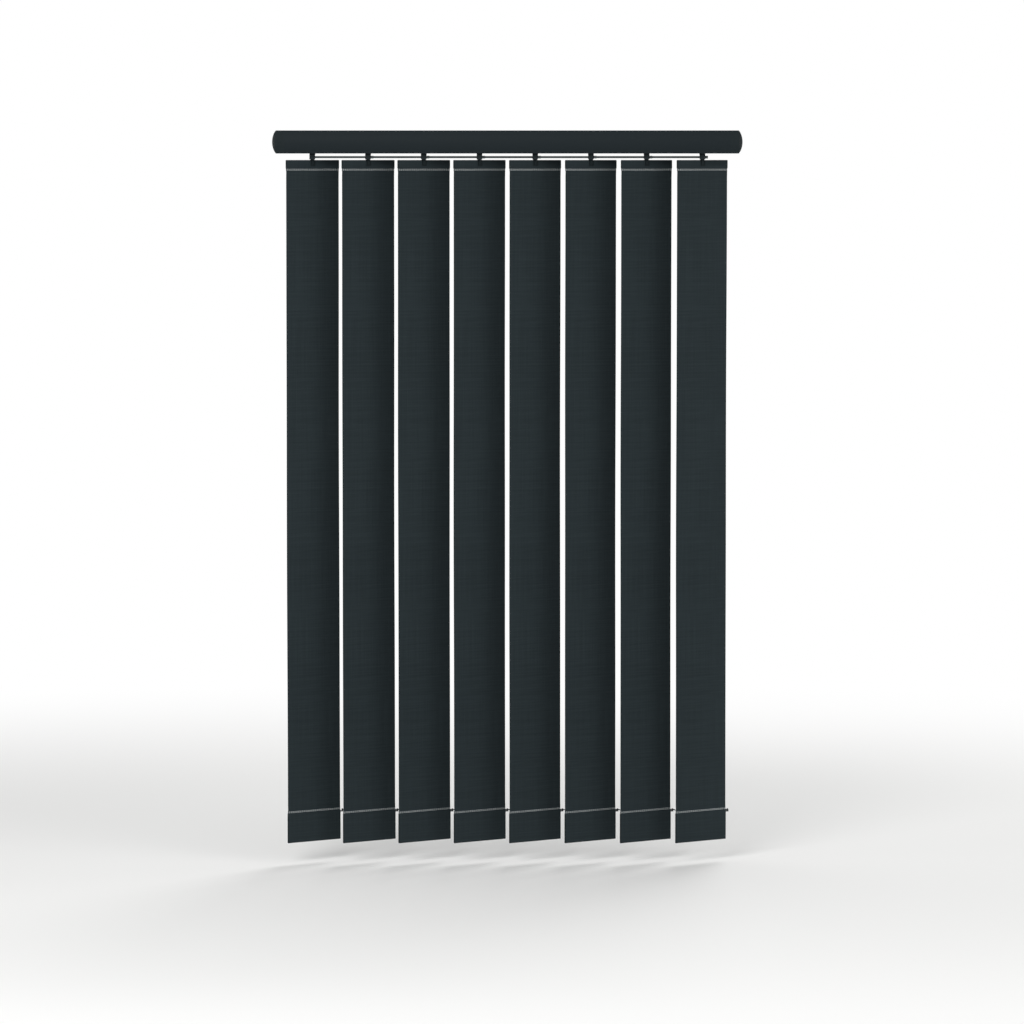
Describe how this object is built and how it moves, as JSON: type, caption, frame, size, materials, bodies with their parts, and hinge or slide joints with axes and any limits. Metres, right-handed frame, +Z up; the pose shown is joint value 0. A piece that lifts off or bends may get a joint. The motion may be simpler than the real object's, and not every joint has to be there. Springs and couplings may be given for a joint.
{
  "type": "vertical blind",
  "caption": "Vertical blind: dark fabric vanes hang from a slim ceiling-fixed headrail, tilt together on worm gears and draw to one side on wheeled carriers.",
  "frame": {"origin": "centre of the ceiling fixing plane, midway between the two bracket screws", "axes": "+X along the rail to the viewer's right, -Y towards the room, +Z up; vanes hang down"},
  "size_m": [0.675, 0.0573, 1.0273],
  "materials": {
    "rail_coating": "satin dark slate powder coat on extruded aluminium",
    "cap_plastic": "fine-textured dark moulding",
    "bracket_steel": "zinc-plated spring steel",
    "rod_aluminium": "drawn, bare",
    "chain_steel": "dark coated beads",
    "carrier_plastic": "moulded, low gloss",
    "gear_plastic": "natural low-friction moulding",
    "stem_plastic": "moulded, low gloss",
    "hanger_plastic": "moulded, low gloss",
    "vane_fabric": "plain-woven dark slate polyester with light stitching",
    "weight_plastic": "moulded plate",
    "spacer_steel": "rolled strip, dulled grey"
  },
  "bodies": {
    "headrail": {"headrail": "rail_coating", "end_caps": "cap_plastic", "ceiling_brackets": "bracket_steel", "carrier_1": "carrier_plastic", "spacer_1": "spacer_steel"},
    "tilt_rod": {"tilt_rod": "rod_aluminium"},
    "carrier_2": {"carrier_2": "carrier_plastic", "spacer_2": "spacer_steel"},
    "carrier_3": {"carrier_3": "carrier_plastic", "spacer_3": "spacer_steel"},
    "carrier_4": {"carrier_4": "carrier_plastic", "spacer_4": "spacer_steel"},
    "carrier_5": {"carrier_5": "carrier_plastic", "spacer_5": "spacer_steel"},
    "carrier_6": {"carrier_6": "carrier_plastic", "spacer_6": "spacer_steel"},
    "carrier_7": {"carrier_7": "carrier_plastic", "spacer_7": "spacer_steel"},
    "carrier_8": {"carrier_8": "carrier_plastic"},
    "worm_1": {"worm_1": "gear_plastic"},
    "vane_1": {"stem_1": "stem_plastic", "hanger_1": "hanger_plastic", "vane_1": "vane_fabric", "weight_1": "weight_plastic"},
    "worm_2": {"worm_2": "gear_plastic"},
    "vane_2": {"stem_2": "stem_plastic", "hanger_2": "hanger_plastic", "vane_2": "vane_fabric", "weight_2": "weight_plastic"},
    "worm_3": {"worm_3": "gear_plastic"},
    "vane_3": {"stem_3": "stem_plastic", "hanger_3": "hanger_plastic", "vane_3": "vane_fabric", "weight_3": "weight_plastic"},
    "worm_4": {"worm_4": "gear_plastic"},
    "vane_4": {"stem_4": "stem_plastic", "hanger_4": "hanger_plastic", "vane_4": "vane_fabric", "weight_4": "weight_plastic"},
    "worm_5": {"worm_5": "gear_plastic"},
    "vane_5": {"stem_5": "stem_plastic", "hanger_5": "hanger_plastic", "vane_5": "vane_fabric", "weight_5": "weight_plastic"},
    "worm_6": {"worm_6": "gear_plastic"},
    "vane_6": {"stem_6": "stem_plastic", "hanger_6": "hanger_plastic", "vane_6": "vane_fabric", "weight_6": "weight_plastic"},
    "worm_7": {"worm_7": "gear_plastic"},
    "vane_7": {"stem_7": "stem_plastic", "hanger_7": "hanger_plastic", "vane_7": "vane_fabric", "weight_7": "weight_plastic"},
    "worm_8": {"worm_8": "gear_plastic"},
    "vane_8": {"stem_8": "stem_plastic", "hanger_8": "hanger_plastic", "vane_8": "vane_fabric", "weight_8": "weight_plastic"},
    "bottom_chain": {"bottom_chain": "chain_steel"}
  },
  "joints": [
    {"name": "carrier_8_traverse", "type": "slide", "parent": "headrail", "child": "carrier_8", "axis": [-1, 0, 0], "range_m": [0, 0.371], "deforming": ["bottom_chain"]},
    {"name": "carrier_7_traverse", "type": "slide", "parent": "headrail", "child": "carrier_7", "axis": [-1, 0, 0], "range_m": [0, 0.318]},
    {"name": "carrier_6_traverse", "type": "slide", "parent": "headrail", "child": "carrier_6", "axis": [-1, 0, 0], "range_m": [0, 0.265]},
    {"name": "carrier_5_traverse", "type": "slide", "parent": "headrail", "child": "carrier_5", "axis": [-1, 0, 0], "range_m": [0, 0.212]},
    {"name": "carrier_4_traverse", "type": "slide", "parent": "headrail", "child": "carrier_4", "axis": [-1, 0, 0], "range_m": [0, 0.159]},
    {"name": "carrier_3_traverse", "type": "slide", "parent": "headrail", "child": "carrier_3", "axis": [-1, 0, 0], "range_m": [0, 0.106]},
    {"name": "carrier_2_traverse", "type": "slide", "parent": "headrail", "child": "carrier_2", "axis": [-1, 0, 0], "range_m": [0, 0.053]},
    {"name": "vane_1_tilt", "type": "hinge", "parent": "headrail", "child": "vane_1", "pos_m": [-0.28, 0, -0.0238], "axis": [0, 0, 1], "range_deg": [-24.5, 135.5], "deforming": ["bottom_chain"]},
    {"name": "vane_2_tilt", "type": "hinge", "parent": "carrier_2", "child": "vane_2", "pos_m": [-0.2, 0, -0.0238], "axis": [0, 0, 1], "range_deg": [-24.5, 135.5]},
    {"name": "vane_3_tilt", "type": "hinge", "parent": "carrier_3", "child": "vane_3", "pos_m": [-0.12, 0, -0.0238], "axis": [0, 0, 1], "range_deg": [-24.5, 135.5]},
    {"name": "vane_4_tilt", "type": "hinge", "parent": "carrier_4", "child": "vane_4", "pos_m": [-0.04, 0, -0.0238], "axis": [0, 0, 1], "range_deg": [-24.5, 135.5]},
    {"name": "vane_5_tilt", "type": "hinge", "parent": "carrier_5", "child": "vane_5", "pos_m": [0.04, 0, -0.0238], "axis": [0, 0, 1], "range_deg": [-24.5, 135.5]},
    {"name": "vane_6_tilt", "type": "hinge", "parent": "carrier_6", "child": "vane_6", "pos_m": [0.12, 0, -0.0238], "axis": [0, 0, 1], "range_deg": [-24.5, 135.5]},
    {"name": "vane_7_tilt", "type": "hinge", "parent": "carrier_7", "child": "vane_7", "pos_m": [0.2, 0, -0.0238], "axis": [0, 0, 1], "range_deg": [-24.5, 135.5]},
    {"name": "vane_8_tilt", "type": "hinge", "parent": "carrier_8", "child": "vane_8", "pos_m": [0.28, 0, -0.0238], "axis": [0, 0, 1], "range_deg": [-24.5, 135.5]},
    {"name": "worm_1_spin", "type": "hinge", "parent": "headrail", "child": "worm_1", "pos_m": [-0.28, -0.01, -0.0168], "axis": [1, 0, 0], "range_deg": [-1355, 245]},
    {"name": "worm_2_spin", "type": "hinge", "parent": "carrier_2", "child": "worm_2", "pos_m": [-0.2, -0.01, -0.0168], "axis": [1, 0, 0], "range_deg": [-1355, 245]},
    {"name": "worm_3_spin", "type": "hinge", "parent": "carrier_3", "child": "worm_3", "pos_m": [-0.12, -0.01, -0.0168], "axis": [1, 0, 0], "range_deg": [-1355, 245]},
    {"name": "worm_4_spin", "type": "hinge", "parent": "carrier_4", "child": "worm_4", "pos_m": [-0.04, -0.01, -0.0168], "axis": [1, 0, 0], "range_deg": [-1355, 245]},
    {"name": "worm_5_spin", "type": "hinge", "parent": "carrier_5", "child": "worm_5", "pos_m": [0.04, -0.01, -0.0168], "axis": [1, 0, 0], "range_deg": [-1355, 245]},
    {"name": "worm_6_spin", "type": "hinge", "parent": "carrier_6", "child": "worm_6", "pos_m": [0.12, -0.01, -0.0168], "axis": [1, 0, 0], "range_deg": [-1355, 245]},
    {"name": "worm_7_spin", "type": "hinge", "parent": "carrier_7", "child": "worm_7", "pos_m": [0.2, -0.01, -0.0168], "axis": [1, 0, 0], "range_deg": [-1355, 245]},
    {"name": "worm_8_spin", "type": "hinge", "parent": "carrier_8", "child": "worm_8", "pos_m": [0.28, -0.01, -0.0168], "axis": [1, 0, 0], "range_deg": [-1355, 245]},
    {"name": "tilt_rod_spin", "type": "hinge", "parent": "headrail", "child": "tilt_rod", "pos_m": [0, -0.01, -0.0168], "axis": [1, 0, 0], "range_deg": [-1355, 245]},
    {"name": "chain_swing", "type": "hinge", "parent": "vane_1", "child": "bottom_chain", "pos_m": [-0.24003, 0.02747, -0.985], "axis": [0, 0, 1], "range_deg": [-135.5, 24.5], "deforming": ["bottom_chain"]}
  ],
  "couplings": [
    {"joint": "carrier_7_traverse", "follows": "carrier_8_traverse", "ratio": 0.85714},
    {"joint": "carrier_6_traverse", "follows": "carrier_8_traverse", "ratio": 0.71429},
    {"joint": "carrier_5_traverse", "follows": "carrier_8_traverse", "ratio": 0.57143},
    {"joint": "carrier_4_traverse", "follows": "carrier_8_traverse", "ratio": 0.42857},
    {"joint": "carrier_3_traverse", "follows": "carrier_8_traverse", "ratio": 0.28571},
    {"joint": "carrier_2_traverse", "follows": "carrier_8_traverse", "ratio": 0.14286},
    {"joint": "vane_2_tilt", "follows": "vane_1_tilt", "ratio": 1},
    {"joint": "vane_3_tilt", "follows": "vane_1_tilt", "ratio": 1},
    {"joint": "vane_4_tilt", "follows": "vane_1_tilt", "ratio": 1},
    {"joint": "vane_5_tilt", "follows": "vane_1_tilt", "ratio": 1},
    {"joint": "vane_6_tilt", "follows": "vane_1_tilt", "ratio": 1},
    {"joint": "vane_7_tilt", "follows": "vane_1_tilt", "ratio": 1},
    {"joint": "vane_8_tilt", "follows": "vane_1_tilt", "ratio": 1},
    {"joint": "worm_1_spin", "follows": "vane_1_tilt", "ratio": -10},
    {"joint": "worm_2_spin", "follows": "vane_1_tilt", "ratio": -10},
    {"joint": "worm_3_spin", "follows": "vane_1_tilt", "ratio": -10},
    {"joint": "worm_4_spin", "follows": "vane_1_tilt", "ratio": -10},
    {"joint": "worm_5_spin", "follows": "vane_1_tilt", "ratio": -10},
    {"joint": "worm_6_spin", "follows": "vane_1_tilt", "ratio": -10},
    {"joint": "worm_7_spin", "follows": "vane_1_tilt", "ratio": -10},
    {"joint": "worm_8_spin", "follows": "vane_1_tilt", "ratio": -10},
    {"joint": "tilt_rod_spin", "follows": "vane_1_tilt", "ratio": -10},
    {"joint": "chain_swing", "follows": "vane_1_tilt", "ratio": -1}
  ]
}
